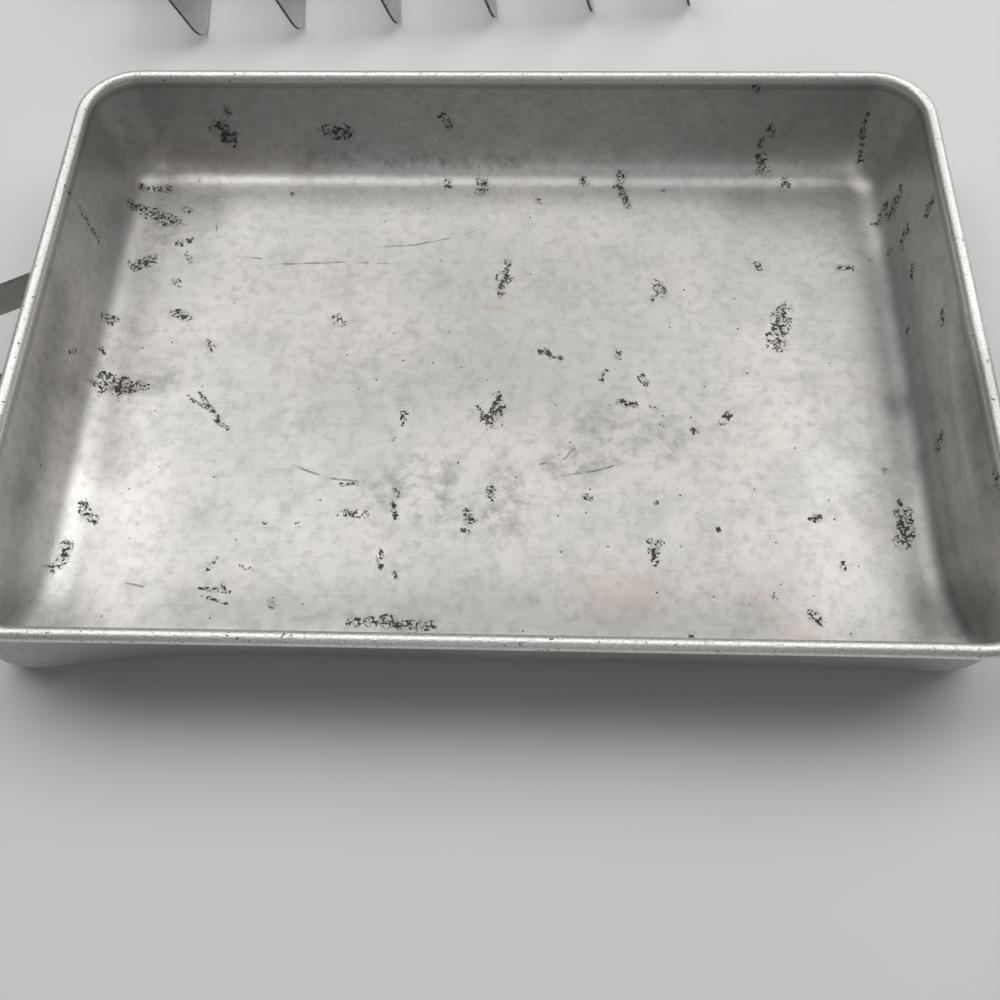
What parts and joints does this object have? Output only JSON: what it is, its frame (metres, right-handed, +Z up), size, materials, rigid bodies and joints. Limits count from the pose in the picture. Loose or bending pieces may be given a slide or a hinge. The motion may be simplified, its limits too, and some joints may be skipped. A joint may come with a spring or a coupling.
{
  "type": "lever ice cube tray",
  "caption": "Rolled-rim aluminium pan with a strap handle, and its loose lever-operated divider insert standing behind it.",
  "frame": {"origin": "middle of the pan's underside, on the surface that it stands on", "axes": "+X along the pan, away from its handle; +Y across it, towards the insert that stands behind; +Z up"},
  "size_m": [0.308, 0.4535, 0.0435],
  "materials": {
    "pan_aluminium": "worn satin, pitted and stained",
    "handle_aluminium": "dull, darkened strap",
    "frame_aluminium": "satin sheet",
    "fin_aluminium": "satin sheet",
    "lever_aluminium": "brushed sheet",
    "rivet_aluminium": "satin rivet"
  },
  "bodies": {
    "pan": {"pan": "pan_aluminium", "pan_handle": "handle_aluminium"},
    "divider_frame": {"centre_wall": "frame_aluminium", "front_side_wall": "frame_aluminium", "back_side_wall": "frame_aluminium", "left_end_tie": "frame_aluminium", "right_end_tie": "frame_aluminium", "left_guide_rivet": "rivet_aluminium", "middle_guide_rivet": "rivet_aluminium"},
    "slide_bar": {"slide_bar": "frame_aluminium"},
    "lever": {"lever": "lever_aluminium", "pivot_rivet": "rivet_aluminium", "drive_rivet": "rivet_aluminium"},
    "fin_1": {"fin_1": "fin_aluminium"},
    "fin_2": {"fin_2": "fin_aluminium"},
    "fin_3": {"fin_3": "fin_aluminium"},
    "fin_4": {"fin_4": "fin_aluminium"},
    "fin_5": {"fin_5": "fin_aluminium"},
    "fin_6": {"fin_6": "fin_aluminium"}
  },
  "joints": [
    {"name": "insert_lift", "type": "slide", "parent": "pan", "child": "divider_frame", "axis": [0, 0, 1], "range_m": [0, 0.1]},
    {"name": "lever_lift", "type": "hinge", "parent": "divider_frame", "child": "lever", "pos_m": [0.04064, 0.26089, 0.02203], "axis": [-0.0854, 0.9963, 0], "range_deg": [0, 90]},
    {"name": "slide_travel", "type": "slide", "parent": "divider_frame", "child": "slide_bar", "axis": [0.9963, 0.0854, 0], "range_m": [0, 0.01007]},
    {"name": "fin_1_rock", "type": "hinge", "parent": "divider_frame", "child": "fin_1", "pos_m": [-0.12688, 0.24653, 0.0015], "axis": [-0.0854, 0.9963, 0], "range_deg": [0, 18]},
    {"name": "fin_2_rock", "type": "hinge", "parent": "divider_frame", "child": "fin_2", "pos_m": [-0.08877, 0.2498, 0.0015], "axis": [-0.0854, 0.9963, 0], "range_deg": [0, 18]},
    {"name": "fin_3_rock", "type": "hinge", "parent": "divider_frame", "child": "fin_3", "pos_m": [-0.05066, 0.25307, 0.0015], "axis": [-0.0854, 0.9963, 0], "range_deg": [0, 18]},
    {"name": "fin_4_rock", "type": "hinge", "parent": "divider_frame", "child": "fin_4", "pos_m": [-0.01254, 0.25633, 0.0015], "axis": [-0.0854, 0.9963, 0], "range_deg": [0, 18]},
    {"name": "fin_5_rock", "type": "hinge", "parent": "divider_frame", "child": "fin_5", "pos_m": [0.02557, 0.2596, 0.0015], "axis": [-0.0854, 0.9963, 0], "range_deg": [0, 18]},
    {"name": "fin_6_rock", "type": "hinge", "parent": "divider_frame", "child": "fin_6", "pos_m": [0.06368, 0.26287, 0.0015], "axis": [-0.0854, 0.9963, 0], "range_deg": [0, 18]}
  ],
  "couplings": [
    {"joint": "slide_travel", "follows": "lever_lift", "m_per_rad": 0.0064124},
    {"joint": "fin_1_rock", "follows": "lever_lift", "ratio": 0.2},
    {"joint": "fin_2_rock", "follows": "lever_lift", "ratio": 0.2},
    {"joint": "fin_3_rock", "follows": "lever_lift", "ratio": 0.2},
    {"joint": "fin_4_rock", "follows": "lever_lift", "ratio": 0.2},
    {"joint": "fin_5_rock", "follows": "lever_lift", "ratio": 0.2},
    {"joint": "fin_6_rock", "follows": "lever_lift", "ratio": 0.2}
  ]
}
